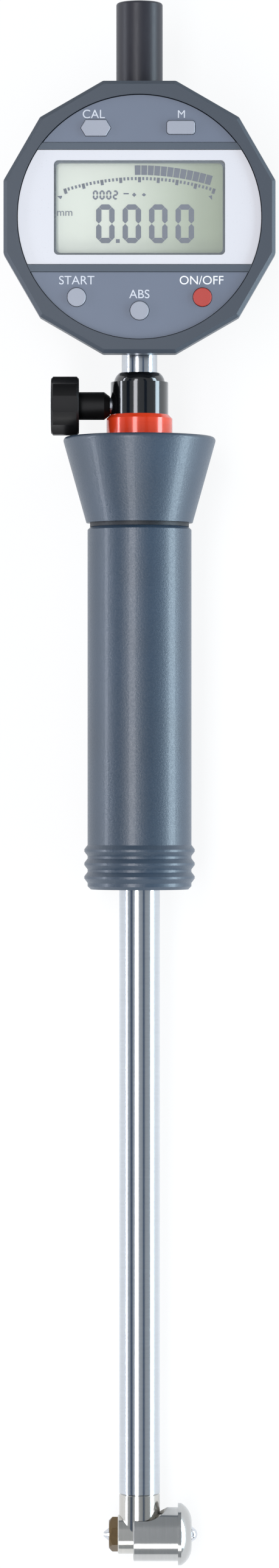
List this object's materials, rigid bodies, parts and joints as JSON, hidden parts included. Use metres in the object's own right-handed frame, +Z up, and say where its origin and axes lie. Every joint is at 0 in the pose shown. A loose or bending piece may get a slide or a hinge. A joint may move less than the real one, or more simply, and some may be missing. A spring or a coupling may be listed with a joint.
{
  "type": "dial bore gauge",
  "caption": "Hand gauge for inside diameters: a tee-shaped measuring head on a polished shaft, a plastic grip with flared guard, and a clamped twelve-sided digital indicator.",
  "frame": {"origin": "middle of the footprint, on the floor that the gauge lies on", "axes": "+X towards the moving contact, +Y along the gauge from its head to the indicator, +Z up out of the display"},
  "size_m": [0.061, 0.3528, 0.0344],
  "materials": {
    "satin_steel": "satin",
    "hard_steel": "polished",
    "spring_steel": "satin",
    "brass": "satin",
    "aluminium": "satin",
    "grip_plastic": "satin",
    "dark_plastic": "satin",
    "orange_anodised": "satin anodised",
    "black_anodised": "gloss anodised",
    "knob_plastic": "gloss",
    "insert_plastic": "gloss",
    "housing_plastic": "satin",
    "plate_plastic": "satin",
    "surround_plastic": "satin",
    "bar_plastic": "satin",
    "clear_plastic": "clear",
    "lcd_glass": "gloss",
    "silicone": "matte",
    "board": "solder mask",
    "chip": "matte",
    "button_plastic": "satin",
    "red_plastic": "satin",
    "cap_plastic": "satin",
    "seal": "matte"
  },
  "bodies": {
    "gauge_body": {"head_body": "satin_steel", "pivot_pin": "hard_steel", "contact_bush": "brass", "anvil": "hard_steel", "lock_nut": "satin_steel", "shaft_tube": "satin_steel", "shaft_guides": "brass", "handle_guide": "brass", "handle_tube": "aluminium", "grip_sleeve": "grip_plastic", "guard_spacer": "dark_plastic", "hand_guard": "grip_plastic", "colour_ring": "orange_anodised", "clamp_collar": "black_anodised", "rod_spring": "spring_steel", "sleeve_spring": "spring_steel"},
    "contact": {"measuring_contact": "hard_steel"},
    "crank": {"bell_crank": "hard_steel"},
    "rod": {"push_rod": "hard_steel", "rod_collar": "satin_steel"},
    "sleeve": {"centring_sleeve": "satin_steel", "sleeve_pin": "hard_steel"},
    "pad": {"clamp_pad": "brass"},
    "knob": {"clamp_knob": "knob_plastic", "knob_insert": "insert_plastic", "clamp_screw": "satin_steel"},
    "indicator": {"main_housing": "housing_plastic", "cover_gasket": "seal", "back_cover": "housing_plastic", "cover_screws": "satin_steel", "battery": "satin_steel", "battery_holder": "dark_plastic", "battery_contact": "spring_steel", "dial_carrier": "bar_plastic", "upper_face_plate": "plate_plastic", "lower_face_plate": "plate_plastic", "display_surround": "surround_plastic", "display_window": "clear_plastic", "lcd_panel": "lcd_glass", "lcd_connectors": "silicone", "circuit_board": "board", "board_screws": "satin_steel", "button_switches": "chip", "reading_head": "chip", "stem": "hard_steel", "stem_bushes": "brass", "upper_bush": "brass", "guide_pin": "hard_steel", "spindle_cap": "cap_plastic", "spindle_spring": "spring_steel"},
    "spindle": {"spindle": "hard_steel", "contact_point": "hard_steel", "spindle_carrier": "aluminium", "measuring_scale": "board"},
    "door": {"battery_door": "dark_plastic"},
    "button_cal": {"button_cal": "button_plastic"},
    "button_mode": {"button_mode": "button_plastic"},
    "button_start": {"button_start": "button_plastic"},
    "button_abs": {"button_abs": "button_plastic"},
    "button_power": {"button_power": "red_plastic"}
  },
  "joints": [
    {"name": "contact_slide", "type": "slide", "parent": "gauge_body", "child": "contact", "axis": [-1, 0, 0], "range_m": [0, 0.0011], "deforming": ["rod_spring"]},
    {"name": "crank_turn", "type": "hinge", "parent": "gauge_body", "child": "crank", "pos_m": [0.0027, -0.1667, 0.00711], "axis": [0, 0.0412, -0.9991], "range_deg": [0, 24]},
    {"name": "rod_slide", "type": "slide", "parent": "gauge_body", "child": "rod", "axis": [0, 0.9991, 0.0412], "range_m": [0, 0.0011], "stiffness_N_per_m": 900, "springref_m": -0.003, "deforming": ["rod_spring"]},
    {"name": "sleeve_slide", "type": "slide", "parent": "gauge_body", "child": "sleeve", "axis": [-1, 0, 0], "range_m": [0, 0.0015], "stiffness_N_per_m": 900, "springref_m": -0.002, "deforming": ["sleeve_spring"]},
    {"name": "indicator_turn", "type": "hinge", "parent": "gauge_body", "child": "indicator", "pos_m": [0, 0.12685, 0.01923], "axis": [0, 0.9991, 0.0412], "range_deg": [-180, 180]},
    {"name": "spindle_slide", "type": "slide", "parent": "indicator", "child": "spindle", "axis": [0, 0.9991, 0.0412], "range_m": [0, 0.0011], "deforming": ["spindle_spring"]},
    {"name": "pad_slide", "type": "slide", "parent": "gauge_body", "child": "pad", "axis": [-1, 0, 0], "range_m": [0, 0.0007]},
    {"name": "knob_turn", "type": "hinge", "parent": "pad", "child": "knob", "pos_m": [-0.0137, 0.08528, 0.01751], "axis": [-1, 0, 0], "range_deg": [0, 360]},
    {"name": "door_turn", "type": "hinge", "parent": "indicator", "child": "door", "pos_m": [0, 0.12749, 0.00374], "axis": [0, 0.0412, -0.9991], "range_deg": [0, 60]},
    {"name": "cal_press", "type": "slide", "parent": "indicator", "child": "button_cal", "axis": [0, 0.0412, -0.9991], "range_m": [0, 0.0005], "stiffness_N_per_m": 600, "springref_m": -0.0005},
    {"name": "mode_press", "type": "slide", "parent": "indicator", "child": "button_mode", "axis": [0, 0.0412, -0.9991], "range_m": [0, 0.0005], "stiffness_N_per_m": 600, "springref_m": -0.0005},
    {"name": "start_press", "type": "slide", "parent": "indicator", "child": "button_start", "axis": [0, 0.0412, -0.9991], "range_m": [0, 0.0005], "stiffness_N_per_m": 600, "springref_m": -0.0005},
    {"name": "abs_press", "type": "slide", "parent": "indicator", "child": "button_abs", "axis": [0, 0.0412, -0.9991], "range_m": [0, 0.0005], "stiffness_N_per_m": 600, "springref_m": -0.0005},
    {"name": "power_press", "type": "slide", "parent": "indicator", "child": "button_power", "axis": [0, 0.0412, -0.9991], "range_m": [0, 0.0005], "stiffness_N_per_m": 600, "springref_m": -0.0005}
  ],
  "couplings": [
    {"joint": "crank_turn", "follows": "rod_slide", "rad_per_m": 370.37},
    {"joint": "contact_slide", "follows": "rod_slide", "ratio": 1},
    {"joint": "spindle_slide", "follows": "rod_slide", "ratio": 1},
    {"joint": "pad_slide", "follows": "knob_turn", "m_per_rad": 0.00011141}
  ]
}
